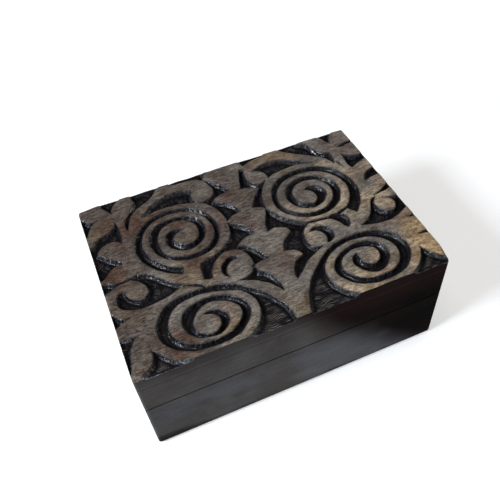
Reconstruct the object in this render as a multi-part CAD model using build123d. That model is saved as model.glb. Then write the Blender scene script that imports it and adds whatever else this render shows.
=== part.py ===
from build123d import *
import os
from math import cos, radians, sin, tan

# Wooden dice box with a hinged, carved lid. Millimetres.
# X runs along the long side, Y from front to back, Z up. The origin is under
# the middle of the closed box, on the surface it stands on.

# ---- overall size -------------------------------------------------------
box_width = 178.0  # along X, 7 in
box_depth = 125.0  # along Y
box_height = 73.0
seam_height = 41.5  # middle of the gap between the base and the lid
seam_gap = 0.4

# ---- wood ---------------------------------------------------------------
wall = 10.0
upright_edge_round = 1.5
bottom_edge_round = 3.0
seam_edge_round = 0.4
floor_thickness = 5.0
floor_lap = 5.0  # how far the floor reaches into the rabbet of the walls
floor_play = 0.25  # room round the floor's edge in that rabbet
panel_thickness = 11.0
panel_edge_round = 1.2

# ---- lining -------------------------------------------------------------
base_felt_thickness = 1.5
lid_felt_thickness = 1.2
felt_play = 0.4  # room between a felt and the walls

# ---- floor pins ---------------------------------------------------------
pin_count_long = 3
pin_count_short = 2
pin_shank_radius = 0.6
pin_head_radius = 1.1
pin_head_thickness = 0.5
pin_length = 14.0
pin_end_distance = 18.0  # from the outside corner to the first pin
pin_side_distance = 7.5  # from the outside face to the row of pins

# ---- hinges -------------------------------------------------------------
hinge_end_distance = 37.0  # from the outside of an end wall to the middle of its hinge
hinge_length = 30.0
knuckle_count = 5
knuckle_gap = 0.2
barrel_radius = 2.2
hinge_pin_radius = 1.1
hinge_running_clearance = 0.05
axis_inset = 2.35  # from the back face to the hinge axis
back_bevel_angle = 50.0  # on base and lid: the lid stops just past upright
leaf_thickness = 1.0
leaf_width = 7.6  # from the hinge axis to the leaf's free edge
leaf_play = 0.1  # round the leaf in its mortise
barrel_room = 0.45  # round the barrel, in the wood and the other leaf
screw_spacing = 18.0
screw_edge_distance = 2.5  # from the leaf's free edge to the screws
screw_head_radius = 1.6
screw_head_height = 0.75
screw_shank_radius = 0.85
screw_length = 9.0
screw_slot_width = 0.45
screw_slot_depth = 0.35

# ---- carving ------------------------------------------------------------
carving_depth = 3.5
# The carving is drawn on a plan of this size and fitted to the lid.
plan_width = 178.0
plan_depth = 125.0

# Each pocket is a closed outline of stretches between sharp corners. A
# stretch lists its first corner and the points it curves through, and ends
# at the first corner of the next one. Points past the edge of the plan open
# the pocket through the side of the lid.
POCKETS = [
    # left of the trunk, above the second pair of leaves
    [
        [(-12.2, 56.9), (-9.6, 54), (-3, 46.5), (-1, 43)],
        [(-0.3, 39.8), (-4, 39.6), (-8, 39), (-11, 37.5)],
        [(-12.7, 35.3), (-6, 31.3), (-1.2, 24)],
        [(-0.3, 20.5), (-5, 20), (-8, 18.5)],
        [(-10.3, 16.3), (-10.6, 22), (-13.5, 31)],
        [(-20, 38.5), (-13, 38.8), (-8.8, 44.5), (-9.6, 51)],
    ],
    # left of the trunk, between the back left scroll and the left curl
    [
        [(-10.8, 14.5), (-5.5, 11), (-1.6, 6)],
        [(-0.3, 1.2), (-4, 0.6), (-8, -0.8)],
        [(-12.5, -4.5), (-6.5, -8), (-2.4, -14)],
        [(-0.4, -19.6), (-4, -19.8), (-8, -20.5)],
        [(-10, -22), (-8.5, -15.5), (-13, -6.5), (-22, -5.5), (-28.5, -10.5), (-31.8, -15.5)],
        [(-32.5, -19.5), (-35, -19.3)],
        [(-37, -18.7), (-36.6, -13), (-35.8, -9)],
        [(-34.8, -7)],
        [(-31, -6.2), (-21, -2.8), (-14, 3.5), (-11.4, 10)],
    ],
    # under the left curl
    [
        [(-19.5, -27.5), (-14, -26.5)],
        [(-10.5, -24)],
        [(-10.4, -21.5)],
        [(-9.4, -21.5)],
        [(-8.5, -26), (-4.2, -30), (-1.5, -37)],
        [(-1.8, -43.5), (-4, -39), (-9, -33.5), (-15, -29.5)],
    ],
    # round the boss of the left curl
    [
        [(-24, -23.2), (-26.3, -16.5), (-22.5, -11.3), (-18, -9.8)],
        [(-14.5, -12.5), (-18, -12.8), (-21.5, -14.2), (-24, -18)],
    ],
    # round the boss of the right curl
    [
        [(29, -12), (35, -10.3), (40, -13.5), (40.8, -18.5)],
        [(34.3, -23.8), (36, -20), (35.7, -16.5), (33.5, -13.5)],
    ],
    # right of the trunk, up to the back right scroll and the right curl
    [
        [(8.2, -39.7), (9.5, -33), (13.5, -28)],
        [(18.3, -26)],
        [(18.2, -24.5), (15.6, -20.8)],
        [(10, -19.3), (13, -12.5), (17, -9)],
        [(19.5, -7.2)],
        [(19.5, -5.5), (15, -0.8), (10.5, -0.2)],
        [(7.5, -1.5), (8.5, 4), (11.8, 11)],
        [(14, 16.5), (16.3, 11), (20.5, 4.5), (28, -2.5)],
        [(33, -5.2), (26.5, -9.5), (24, -17), (26.2, -23.2)],
        [(31, -24.8), (26, -27), (19, -30.5), (13, -36)],
    ],
    # over the right curl
    [
        [(32, -4.6), (38, -5.5)],
        [(43, -6.2)],
        [(43.6, -7.6), (38, -6.7)],
        [(32.4, -5.9)],
    ],
    [
        [(43, -6.9), (47, -5.5), (51.5, -6.6), (54, -11.5), (53, -15.5)],
        [(51, -18.2), (49.2, -16.3), (47.6, -12.2), (45.4, -9.2)],
    ],
    [[(50.5, -5.2)], [(57.2, -3.6)], [(57.4, -4.5)], [(51, -6.8)]],
    # right of the trunk, behind the back right scroll
    [
        [(12.3, 55.7)],
        [(14.5, 54.5), (13.1, 48), (14.3, 41.3), (19.3, 37.5)],
        [(23, 38.4), (18, 31.5), (14.8, 23.5)],
        [(14.2, 16.5), (11, 19)],
        [(7, 20.2), (9.6, 24.8), (13.5, 30)],
        [(17.6, 34), (13, 37.1)],
        [(6.6, 38.4), (9, 46.5)],
    ],
    # crescents over the two back scrolls
    [
        [(19, 50), (27, 53.2), (36, 53.4), (46, 48.7)],
        [(57, 40.5), (48, 43.3), (36, 43.2), (29, 41.8)],
        [(25.5, 39.8), (26, 44), (23, 48.4)],
    ],
    [
        [(-55.3, 40.8), (-48.5, 47.5), (-39, 52.3), (-29, 53.2)],
        [(-20.5, 50.3), (-23.3, 45), (-22.3, 40.8)],
        [(-20.5, 38.6), (-28, 41.5), (-39, 43.3), (-50, 42.3)],
    ],
    # along the back edge, from left to right
    [
        [(-75.5, 65.5)],
        [(-75.2, 60), (-73, 56.5)],
        [(-70.7, 52.3), (-69.6, 57), (-66.6, 60.2)],
        [(-61, 65.5)],
    ],
    [
        [(-57.3, 65.5)],
        [(-56.8, 60), (-57.4, 53.5), (-62.7, 46.3)],
        [(-65.2, 34.5), (-63.4, 40), (-61, 45), (-55.5, 50), (-48, 54)],
        [(-42.5, 59.5)],
        [(-36, 65.5)],
    ],
    [
        [(-35, 65.5)],
        [(-31, 60.9), (-24, 60.1), (-17, 59.2)],
        [(-12.6, 56.4), (-11, 58.6)],
        [(-10, 65.5)],
    ],
    [
        [(13.5, 65.5)],
        [(15, 60)],
        [(16, 57.3), (18.5, 59), (24, 60.3)],
        [(31, 61.8)],
        [(33, 65.5)],
    ],
    [
        [(38.6, 65.5)],
        [(42.5, 60.8), (48, 55.7), (56.5, 49.2), (64, 43)],
        [(68.8, 34.2), (70.3, 38.5)],
        [(70.7, 45), (65, 47.7), (62.4, 53.5)],
        [(60.5, 58.8)],
        [(51, 65.5)],
    ],
    [[(70.3, 34.5)], [(72.6, 29)], [(71.4, 34.8)]],
    [
        [(68, 65.5)],
        [(72.5, 59.5)],
        [(75.2, 52.8), (76, 56), (78, 59.7)],
        [(85, 65.5)],
    ],
    # along the right edge, from back to front
    [[(78, 47.8), (82, 48.9)], [(92, 50.3)], [(92, 48.6)], [(84, 48), (81, 47.2)]],
    [
        [(76.5, 40.5), (80, 37.5), (84.5, 35.5)],
        [(92, 36.8)],
        [(92, 31.2)],
        [(86, 29.8), (82, 28.5)],
        [(77.3, 26), (76.3, 31), (76.7, 36)],
    ],
    [[(78.5, 12), (81, 17), (85, 19.5)], [(92, 20.8)], [(92, 14.2)], [(85, 13.5)]],
    [[(76.5, -1.8), (82, -0.1)], [(86.5, 2.6)], [(92, 6)], [(92, 1)], [(85.5, -0.6)]],
    [
        [(76.5, -3.3), (72, -6), (68.8, -12), (64, -17.4)],
        [(58, -20.4), (66, -22.6), (77, -23), (84, -20.4)],
        [(92, -16.3)],
        [(92, -7.4)],
        [(88, -7.6), (84, -7.1)],
        [(80, -5.7)],
        [(83, -7.2), (84.9, -11.5), (80, -17.8), (74.8, -15), (73, -8.8)],
        [(74.3, -5.5)],
    ],
    [[(85.3, -26)], [(92, -24.7)], [(92, -27.8)]],
    [[(83, -40), (86, -39.4)], [(92, -39.5)], [(92, -42.8)], [(87.5, -40.9)]],
    [
        [(78.5, -48.5), (74.8, -55.5)],
        [(70, -60)],
        [(61, -66)],
        [(92, -66)],
        [(92, -61.5)],
        [(87, -59.8), (82, -55)],
    ],
    # along the left edge, from back to front
    [
        [(-92, 57.5)],
        [(-87, 54), (-84.5, 50.5), (-82, 50)],
        [(-79.5, 50.8), (-82.5, 48.5), (-85.5, 45.5), (-88, 40)],
        [(-92, 37)],
    ],
    [
        [(-92, 30.6)],
        [(-87, 30), (-84, 33.8), (-77.5, 36.8), (-72.5, 40)],
        [(-70.7, 43.8), (-69.9, 36)],
        [(-71, 26.3), (-76.5, 29.9), (-83.8, 27)],
        [(-85.8, 23.8), (-81, 18)],
        [(-74.4, 12.2)],
        [(-75, 10.3), (-80.5, 10.1), (-84.5, 6.3)],
        [(-92, 3.6)],
    ],
    [
        [(-92, 1.6)],
        [(-86.5, 1.2), (-83, -0.6)],
        [(-79.8, -2)],
        [(-83.5, -4.2)],
        [(-92, -7)],
    ],
    [
        [(-81, -1.4), (-75, -1.3)],
        [(-69, 0.2)],
        [(-69, -1)],
        [(-75, -2.3)],
        [(-81, -2.7)],
    ],
    [
        [(-71, -0.6), (-65.5, -1.3), (-58, -8.5), (-52, -14.5)],
        [(-48.5, -17), (-57, -20.8), (-68, -22.8), (-78.5, -21.5), (-84.2, -15.5), (-80.5, -8.4)],
        [(-78.2, -8.6), (-76.4, -15), (-71.5, -17.5), (-67, -14.5), (-68, -7)],
        [(-73, -2.6)],
    ],
    [[(-92, -18)], [(-87.8, -21), (-84.8, -25.4)], [(-80, -26.3), (-85, -28)], [(-92, -31.5)]],
    [
        [(-92, -38.1)],
        [(-80.2, -39), (-84.4, -43.5), (-86.6, -51)],
        [(-89.2, -60)],
        [(-92, -60)],
    ],
    # along the front edge
    [
        [(-75.5, -50.3), (-71.5, -54.5), (-68, -58.8)],
        [(-60, -61.2)],
        [(-52, -66)],
        [(-90, -66)],
        [(-81, -60.6), (-77.4, -57.5)],
    ],
    [
        [(-35, -25), (-30, -26.6), (-19, -33), (-10, -42.3), (-4.8, -52)],
        [(-3.3, -62.3)],
        [(-3.3, -66)],
        [(-33, -66)],
        [(-28, -62.3), (-19.5, -55), (-17, -43), (-22, -34.2)],
        [(-28, -30.5)],
    ],
    [
        [(27.1, -31.8), (18, -39.8), (12.5, -46.3), (8, -54.5)],
        [(5.5, -62.3)],
        [(5.5, -66)],
        [(38, -66)],
        [(33, -62.3), (26.3, -56), (23, -47), (24.7, -39.3)],
        [(29.9, -33.2)],
    ],
    # where the left stem crosses under the front left scroll
    [
        [(-48.5, -18.4), (-43, -19.7), (-39.6, -21.6)],
        [(-38, -25.2), (-40.4, -22.8), (-43.2, -21)],
    ],
]

# Each spiral groove runs from its tail inwards. Its two edges are radii from
# its centre: the first at the tail, then one at every eighth of a turn.
# The tip is where the edges meet, as an angle and a radius.
GROOVES = [
    {
        "centre": (-38.5, 16.5),
        "tail_angle": 254,
        "turn": -1,
        "outer": [27.7, 26.6, 26.9, 25.0, 23.1, 22.5, 21.8, 21.3, 18.4, 17.7,
                  18.2, 18.4, 15.8, 16.5, 14.5, 12.4, 11.2, 9.7, 9.3, 8.6, 6.7],
        "inner": [23.2, 22.3, 22.8, 22.4, 20.3, 19.8, 19.1, 18.1, 15.6, 15.4,
                  13.8, 13.9, 13.1, 12.4, 10.3, 9.0, 6.7, 5.4, 5.2, 4.0, 4.2],
        "tip": (-654, 6.0),
    },
    {
        "centre": (42.5, 15.2),
        "tail_angle": -54,
        "turn": 1,
        "outer": [30.8, 30.5, 28.7, 26.7, 23.7, 23.8, 22.4, 19.5, 17.8, 17.8,
                  18.5, 17.4, 16.1, 15.4, 13.6, 11.9, 10.5, 9.5, 10.0, 8.3, 6.2],
        "inner": [24.1, 23.9, 23.9, 22.1, 20.0, 20.4, 19.6, 16.4, 14.4, 13.9,
                  14.0, 13.9, 12.6, 11.7, 9.2, 7.9, 7.2, 4.5, 3.2, 3.3, 4.6],
        "tip": (826, 5.3),
    },
    {
        "centre": (-45.5, -45.0),
        "tail_angle": 28,
        "turn": 1,
        "outer": [28.9, 25.3, 21.0, 24.0, 24.7, 18.3, 15.3, 18.9, 23.5, 17.7,
                  13.5, 13.0, 11.7, 9.9, 9.6, 11.3, 11.5, 7.4],
        "inner": [25.5, 21.2, 18.0, 19.5, 18.7, 14.4, 12.3, 15.1, 19.4, 14.0,
                  9.4, 6.8, 6.9, 7.2, 8.3, 8.3, 7.3, 5.2],
        "tip": (806, 4.8),
    },
    {
        "centre": (50.0, -43.0),
        "tail_angle": 154,
        "turn": -1,
        "outer": [25.5, 21.9, 18.0, 20.5, 23.6, 20.5, 17.4, 19.5, 21.2, 14.4,
                  11.6, 11.7, 11.5, 10.7, 11.0, 9.9, 9.9],
        "inner": [22.4, 18.9, 15.0, 15.6, 17.0, 15.8, 14.0, 15.6, 16.9, 11.7,
                  8.2, 7.4, 6.3, 5.6, 5.3, 4.7, 5.0],
        "tip": (-586, 7.2),
    },
]

# ---- worked out ---------------------------------------------------------
base_rim = seam_height - seam_gap / 2
lid_rim = seam_height + seam_gap / 2
panel_underside = box_height - panel_thickness
inner_width = box_width - 2 * wall
inner_depth = box_depth - 2 * wall
axis_y = box_depth / 2 - axis_inset
leaf_edge_y = axis_y - leaf_width
screw_y = leaf_edge_y + screw_edge_distance
knuckle_pitch = hinge_length / knuckle_count
hinge_x = box_width / 2 - hinge_end_distance
hinge_centres = [-hinge_x, hinge_x]


def block(low, high):
    """A box between two opposite corners."""
    size = [b - a for a, b in zip(low, high)]
    return Pos(*low) * Box(*size, align=(Align.MIN, Align.MIN, Align.MIN))


def rod_along_x(radius, length, centre):
    """A round bar along X about its middle point."""
    return Pos(*centre) * Rot(0, 90, 0) * Cylinder(radius, length)


# ---- box carcass --------------------------------------------------------
def mitre_sector(side):
    """The quarter of the plan, cut at 45 degrees, that one wall keeps."""
    spare = 2.0
    x = box_width / 2 + spare
    y = box_depth / 2 + spare
    ridge = x - y
    plans = {
        "front": [(-x, -y), (x, -y), (ridge, 0), (-ridge, 0)],
        "back": [(x, y), (-x, y), (-ridge, 0), (ridge, 0)],
        "right": [(x, -y), (x, y), (ridge, 0)],
        "left": [(-x, y), (-x, -y), (-ridge, 0)],
    }
    corners = plans[side]
    outline = Polyline(*corners, close=True)
    return extrude(make_face(outline), amount=2 * box_height, both=True)


def frame_ring(low, high):
    """Four walls in one, with rounded upright edges."""
    height = high - low
    outside = Pos(0, 0, low) * Box(
        box_width, box_depth, height, align=(Align.CENTER, Align.CENTER, Align.MIN)
    )
    outside = fillet(outside.edges().filter_by(Axis.Z), upright_edge_round)
    return outside


def base_ring():
    """The base walls before they are cut at the mitres."""
    body = frame_ring(0, base_rim)
    body = fillet(body.edges().group_by(Axis.Z)[0], bottom_edge_round)
    body = fillet(body.edges().group_by(Axis.Z)[-1], seam_edge_round)
    hollow = Box(inner_width, inner_depth, 2 * box_height)
    rabbet = Box(
        inner_width + 2 * (floor_lap + floor_play),
        inner_depth + 2 * (floor_lap + floor_play),
        2 * floor_thickness,
    )
    return body - hollow - rabbet


def lid_ring():
    """The lid rails before they are cut at the mitres."""
    body = frame_ring(lid_rim, panel_underside)
    body = fillet(body.edges().group_by(Axis.Z)[0], seam_edge_round)
    hollow = Box(inner_width, inner_depth, 3 * box_height)
    return body - hollow


def back_bevel(direction):
    """What the bevel along the back takes away: -1 from the base, 1 from the lid."""
    reach = axis_inset + 2.0
    rise = reach * tan(radians(back_bevel_angle))
    profile = Polyline(
        (0, 0),
        (reach, direction * rise),
        (reach, -direction * rise),
        (0, -direction * rise),
        close=True,
    )
    plane = Plane(origin=(0, axis_y, seam_height), x_dir=(0, 1, 0), z_dir=(1, 0, 0))
    return extrude(plane * make_face(profile), amount=box_width, both=True)


def hinge_seat(centre_x, direction):
    """The mortise for a leaf and the room for the barrel, in the base or the lid."""
    rim = seam_height + direction * seam_gap / 2
    deep = rim + direction * leaf_thickness
    half = hinge_length / 2 + leaf_play
    low_z = min(deep, seam_height)
    high_z = max(deep, seam_height)
    mortise = block(
        (centre_x - half, leaf_edge_y - leaf_play, low_z),
        (centre_x + half, axis_y, high_z),
    )
    room = rod_along_x(
        barrel_radius + barrel_room,
        hinge_length + 2 * barrel_room,
        (centre_x, axis_y, seam_height),
    )
    return mortise + room


def screw_places(centre_x):
    """Where the screws of one leaf stand, along X."""
    return [centre_x - screw_spacing / 2, centre_x + screw_spacing / 2]


def screw_body(x, direction, radius_growth=0.0):
    """One countersunk wood screw, head up in the base and head down in the lid."""
    head_z = seam_height + direction * seam_gap / 2
    shank = screw_length - screw_head_height
    point = screw_shank_radius * 2
    head = Cone(
        screw_shank_radius + radius_growth,
        screw_head_radius + radius_growth,
        screw_head_height,
        align=(Align.CENTER, Align.CENTER, Align.MAX),
    )
    straight = Pos(0, 0, -screw_head_height) * Cylinder(
        screw_shank_radius + radius_growth,
        shank - point,
        align=(Align.CENTER, Align.CENTER, Align.MAX),
    )
    tip = Pos(0, 0, point - screw_length) * Cone(
        0.2 * screw_shank_radius,
        screw_shank_radius + radius_growth,
        point,
        align=(Align.CENTER, Align.CENTER, Align.MAX),
    )
    screw = head + straight + tip
    if direction > 0:
        screw = Rot(180, 0, 0) * screw
    return Pos(x, screw_y, head_z) * screw


def screws(direction):
    """All screws of the base leaves (-1) or the lid leaves (1)."""
    made = []
    head_z = seam_height + direction * seam_gap / 2
    for centre_x in hinge_centres:
        for x in screw_places(centre_x):
            slot = Pos(x, screw_y, head_z) * Rot(0, 0, 35) * Box(
                2 * screw_head_radius + 1, screw_slot_width, 2 * screw_slot_depth
            )
            made.append(screw_body(x, direction) - slot)
    return Compound(children=[s.solid() for s in made])


def pin_places():
    """Plan positions of the pins that hold the floor."""
    row_x = box_width / 2 - pin_end_distance
    row_y = box_depth / 2 - pin_side_distance
    side_x = box_width / 2 - pin_side_distance
    side_y = box_depth / 2 - pin_end_distance
    places = []
    for i in range(pin_count_long):
        x = -row_x + 2 * row_x * i / (pin_count_long - 1)
        places += [(x, -row_y), (x, row_y)]
    for i in range(pin_count_short):
        y = -side_y + 2 * side_y * i / (pin_count_short - 1)
        places += [(-side_x, y), (side_x, y)]
    return places


def floor_pin(x, y):
    """One panel pin, driven up through the floor into a wall."""
    upward = (Align.CENTER, Align.CENTER, Align.MIN)
    head = Cylinder(pin_head_radius, pin_head_thickness, align=upward)
    shank = Cylinder(pin_shank_radius, pin_length, align=upward)
    return Pos(x, y, 0) * (head + shank)


def walls(ring, pockets):
    """The ring cut at the mitres into its four walls, each with its own cuts."""
    made = {}
    for side in ("front", "back", "left", "right"):
        wall_piece = ring & mitre_sector(side)
        for cut in pockets:
            wall_piece = wall_piece - cut
        made[side] = wall_piece.solid()
    return made


def base_walls():
    cuts = [back_bevel(-1)]
    cuts += [hinge_seat(x, -1) for x in hinge_centres]
    cuts += [screw_body(x, -1) for centre in hinge_centres for x in screw_places(centre)]
    cuts += [floor_pin(x, y) for x, y in pin_places()]
    return walls(base_ring(), cuts)


def lid_rails():
    cuts = [back_bevel(1)]
    cuts += [hinge_seat(x, 1) for x in hinge_centres]
    cuts += [screw_body(x, 1) for centre in hinge_centres for x in screw_places(centre)]
    return walls(lid_ring(), cuts)


def base_floor():
    """The floor panel in the rabbet, with its pin holes."""
    panel = Box(
        inner_width + 2 * floor_lap,
        inner_depth + 2 * floor_lap,
        floor_thickness,
        align=(Align.CENTER, Align.CENTER, Align.MIN),
    )
    for x, y in pin_places():
        panel = panel - floor_pin(x, y)
    return panel.solid()


def felt(low, thickness):
    """A felt cut to the inside of the box."""
    return Pos(0, 0, low) * Box(
        inner_width - 2 * felt_play,
        inner_depth - 2 * felt_play,
        thickness,
        align=(Align.CENTER, Align.CENTER, Align.MIN),
    )


# ---- hinges -------------------------------------------------------------
def hinge_leaf(centre_x, direction):
    """One leaf: the base leaf has the odd knuckles, the lid leaf the even ones."""
    rim = seam_height + direction * seam_gap / 2
    back = rim + direction * leaf_thickness
    low_z, high_z = min(rim, back), max(rim, back)
    half = hinge_length / 2
    leaf = block(
        (centre_x - half, leaf_edge_y, low_z),
        (centre_x + half, axis_y - barrel_radius - barrel_room, high_z),
    )
    corners = leaf.edges().filter_by(Axis.Z).group_by(Axis.Y)[0]
    leaf = fillet(corners, 1.0)
    first = 0 if direction < 0 else 1
    for i in range(first, knuckle_count, 2):
        low_x = centre_x - half + i * knuckle_pitch + knuckle_gap / 2
        high_x = low_x + knuckle_pitch - knuckle_gap
        middle = (low_x + high_x) / 2
        tab = block((low_x, leaf_edge_y + 1, low_z), (high_x, axis_y, high_z))
        barrel = rod_along_x(barrel_radius, high_x - low_x, (middle, axis_y, seam_height))
        leaf = leaf + tab + barrel
    bore_radius = hinge_pin_radius
    if direction > 0:
        bore_radius = hinge_pin_radius + hinge_running_clearance
    leaf = leaf - rod_along_x(bore_radius, 2 * hinge_length, (centre_x, axis_y, seam_height))
    for x in screw_places(centre_x):
        leaf = leaf - screw_body(x, direction)
    return leaf.solid()


def hinge_pin(centre_x):
    """The pin through all knuckles of one hinge, with eased ends."""
    length = hinge_length - knuckle_gap
    pin = rod_along_x(hinge_pin_radius, length, (centre_x, axis_y, seam_height))
    return chamfer(pin.edges().filter_by(GeomType.CIRCLE), 0.25)


# ---- carved lid panel ---------------------------------------------------
def on_plan(x, y):
    """A point of the carving's plan, fitted to this lid."""
    return (x * box_width / plan_width, y * box_depth / plan_depth)


def smooth_edge(points):
    """A straight edge through two points, or a curve through more."""
    if len(points) == 2:
        return Line(*points)
    return Spline(*points)


def pocket_face(stretches):
    """The closed outline of one pocket, as a face."""
    edges = []
    for i, stretch in enumerate(stretches):
        after = stretches[(i + 1) % len(stretches)][0]
        points = [on_plan(*p) for p in [*stretch, after]]
        edges.append(smooth_edge(points))
    return make_face(edges)


def groove_face(groove):
    """A spiral groove, between its outer and its inner edge, as a face."""
    centre_x, centre_y = groove["centre"]
    turn = groove["turn"]
    tail = groove["tail_angle"]
    first = tail // 45 * 45 if turn < 0 else -(-tail // 45) * 45

    def place(angle, radius):
        x = centre_x + radius * cos(radians(angle))
        y = centre_y + radius * sin(radians(angle))
        return on_plan(x, y)

    def edge_points(radii):
        angles = [tail] + [first + turn * 45 * i for i in range(len(radii) - 1)]
        return [place(a, r) for a, r in zip(angles, radii)] + [place(*groove["tip"])]

    outer = edge_points(groove["outer"])
    inner = edge_points(groove["inner"])
    edges = [Spline(*outer), Spline(*inner), Line(outer[0], inner[0])]
    return make_face(edges)


def carving_cutters():
    """What the carver takes away, standing up past the top of the lid."""
    floor_z = box_height - carving_depth
    faces = [pocket_face(p) for p in POCKETS] + [groove_face(g) for g in GROOVES]
    return [
        extrude(Pos(0, 0, floor_z) * face, amount=carving_depth + 2, dir=(0, 0, 1))
        for face in faces
    ]


def lid_panel():
    """The thick carved panel glued on the lid rails."""
    panel = frame_ring(panel_underside, box_height)
    panel = fillet(panel.edges().group_by(Axis.Z)[-1], panel_edge_round)
    for cutter in carving_cutters():
        panel = panel - cutter
    return panel.solid()


def main():
    os.makedirs("parts", exist_ok=True)
    nodes = {}
    for side, piece in base_walls().items():
        nodes[f"base_{side}_wall"] = piece
    for side, piece in lid_rails().items():
        nodes[f"lid_{side}_rail"] = piece
    nodes["base_floor"] = base_floor()
    nodes["floor_pins"] = Compound(children=[floor_pin(x, y).solid() for x, y in pin_places()])
    nodes["base_felt"] = felt(floor_thickness, base_felt_thickness)
    nodes["lid_felt"] = felt(panel_underside - lid_felt_thickness, lid_felt_thickness)
    nodes["lid_carved_panel"] = lid_panel()
    for name, centre_x in zip(("left", "right"), hinge_centres):
        nodes[f"{name}_hinge_base_leaf"] = hinge_leaf(centre_x, -1)
        nodes[f"{name}_hinge_lid_leaf"] = hinge_leaf(centre_x, 1)
        nodes[f"{name}_hinge_pin"] = hinge_pin(centre_x)
    nodes["hinge_base_screws"] = screws(-1)
    nodes["hinge_lid_screws"] = screws(1)
    for name, shape in nodes.items():
        export_step(shape, f"parts/{name}.step")


main()
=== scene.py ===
import bpy
import math
import numpy as np
from mathutils import Matrix, Vector
from mathutils.kdtree import KDTree


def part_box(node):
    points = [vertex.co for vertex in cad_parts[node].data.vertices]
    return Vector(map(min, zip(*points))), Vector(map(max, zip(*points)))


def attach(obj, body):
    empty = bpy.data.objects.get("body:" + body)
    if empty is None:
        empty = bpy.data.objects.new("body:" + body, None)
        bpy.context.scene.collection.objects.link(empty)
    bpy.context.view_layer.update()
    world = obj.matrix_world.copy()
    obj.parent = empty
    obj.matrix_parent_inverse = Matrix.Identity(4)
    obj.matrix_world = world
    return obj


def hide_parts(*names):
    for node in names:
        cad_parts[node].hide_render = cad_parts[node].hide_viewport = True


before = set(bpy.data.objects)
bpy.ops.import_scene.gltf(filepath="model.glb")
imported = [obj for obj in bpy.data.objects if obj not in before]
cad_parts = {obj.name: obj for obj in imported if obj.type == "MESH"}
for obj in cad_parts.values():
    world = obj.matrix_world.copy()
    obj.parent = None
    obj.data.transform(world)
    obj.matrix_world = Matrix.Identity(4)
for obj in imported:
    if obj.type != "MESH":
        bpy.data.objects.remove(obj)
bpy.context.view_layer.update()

MM = 0.001

# ---- camera of the photograph: angles in degrees, lens and sensor in mm -----
CAMERA_PLACE = Vector((-74.2, -215.99, 316.11)) * MM
CAMERA_AZIMUTH = 20.843
CAMERA_ELEVATION = 50.110
CAMERA_ROLL = -3.728
CAMERA_LENS = 42.17
CAMERA_SENSOR = 36.0
CAMERA_SHIFT = (-0.04, 0.0316)

# ---- studio -----------------------------------------------------------------
WORLD_LIGHT = 0.08
CEILING_LIGHT = 0.06
BACKDROP_RISE = (0.25, 0.55)
STUDIO_HALF = 6.0
FLOOR_LIFT = 0.48
FAR_FLOOR_LIFT = 1.0
# name, place, height of what it points at, size in m, power in W and colour
LIGHTS = [
    ("window", (-0.76, -0.11, 0.66), 0.05, (0.28, 0.20), 14.5, (0.85, 0.92, 1.0)),
    ("overhead", (-0.10, 0.02, 0.92), 0.05, (0.4, 0.4), 2.4, (1.0, 0.96, 0.91)),
    ("front_fill", (-0.35, -0.95, 0.17), 0.04, (0.9, 0.16), 5.0, (0.95, 0.97, 1.0)),
    ("back_fill", (0.85, 0.60, 0.22), 0.04, (0.9, 0.20), 5.0, (1.0, 0.97, 0.94)),
]

# ---- carved panel: its grid, in m -------------------------------------------
PANEL = "lid_carved_panel"
GRID_STEP = 0.25 * MM
EDGE_ROWS = [0.0, 0.06 * MM, 0.20 * MM, 0.42 * MM, 0.70 * MM]
EDGE_BAND = 1.0 * MM
CORNER_ROUND = 1.5 * MM
OUTLINE_SAMPLE = 0.06 * MM
OUTLINE_MARGIN = 0.03 * MM
SNAP_REACH = 0.42 * GRID_STEP
SNAP_MARGIN = 1.2 * GRID_STEP
GLUE_LINE = 0.06 * MM
SIDE_SHARES = (0.66, 0.33)
LEVEL_TOLERANCE = 1e-6
HEIGHT_TOLERANCE = 1e-5
TINY_AREA = 1e-16
SLACK = 1e-9

# ---- carved panel: its relief, in plain mm ----------------------------------
EDGE_ROUND = 1.3
CORNER_WEAR = 1.4
CORNER_WEAR_REACH = 11.0
# how much of that wear the left, the back right and the front right corners got
CORNER_SHARES = (1.0, 0.3, 1.8)
FLOOR_EDGE_ROUND = 0.5
LIP_ROUND = 1.0
LIP_DROP = 0.75
DOME = 0.40
DOME_REACH = 3.0
WALL_RUN = 1.2
WALL_RUN_SPREAD = 0.9
WALL_CURVE = 1.8
# how far in front of the lid's middle the marks turn from strokes into rows
FRONT_POCKETS = (26, 32)
GOUGE_PITCH = 1.05
GOUGE_HEIGHT = 0.34
STROKE_SIZE = 0.42
STROKE_DEPTH = 0.14
WANDER = 0.15
NICK = 0.08
WANDER_FADE = (0.2, 2.0)
# what the stain reads on the sides of the board, where nothing is carved
SIDE_FIELDS = {"relief": 0.5, "lip": 9.0, "crest": 0.0, "stroke": 0.0}

# ---- dark frame, in m -------------------------------------------------------
FOOT_DARK_BAND = 5.0 * MM
SEAM_Z = (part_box("base_front_wall")[1].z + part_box("lid_front_rail")[0].z) / 2
JOINT_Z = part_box("lid_front_rail")[1].z
FRONT_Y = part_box("base_front_wall")[0].y

# ---- how far the sharp edges of the CAD pieces are eased, in m --------------
WALL_EASE = 0.22 * MM
RAIL_EASE = 0.05 * MM
FLOOR_EASE = 0.15 * MM
METAL_EASE = 0.06 * MM
SCREW_EASE = 0.04 * MM
WELD_REACH = 0.002 * MM

# ---- felt linings: the grid and the band along the cut in m, the rest in mm -
FELT_STEP = 2.0 * MM
FELT_CUT_BAND = 8 * MM
FELT_ROUND = 0.45
FELT_ROUND_REACH = 0.8
FELT_PULL = 0.22
FELT_PULL_REACH = 3

# ---- noise table ------------------------------------------------------------
NOISE_CELLS = 64
NOISE_SHIFT = (31.7, 17.3)


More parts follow.
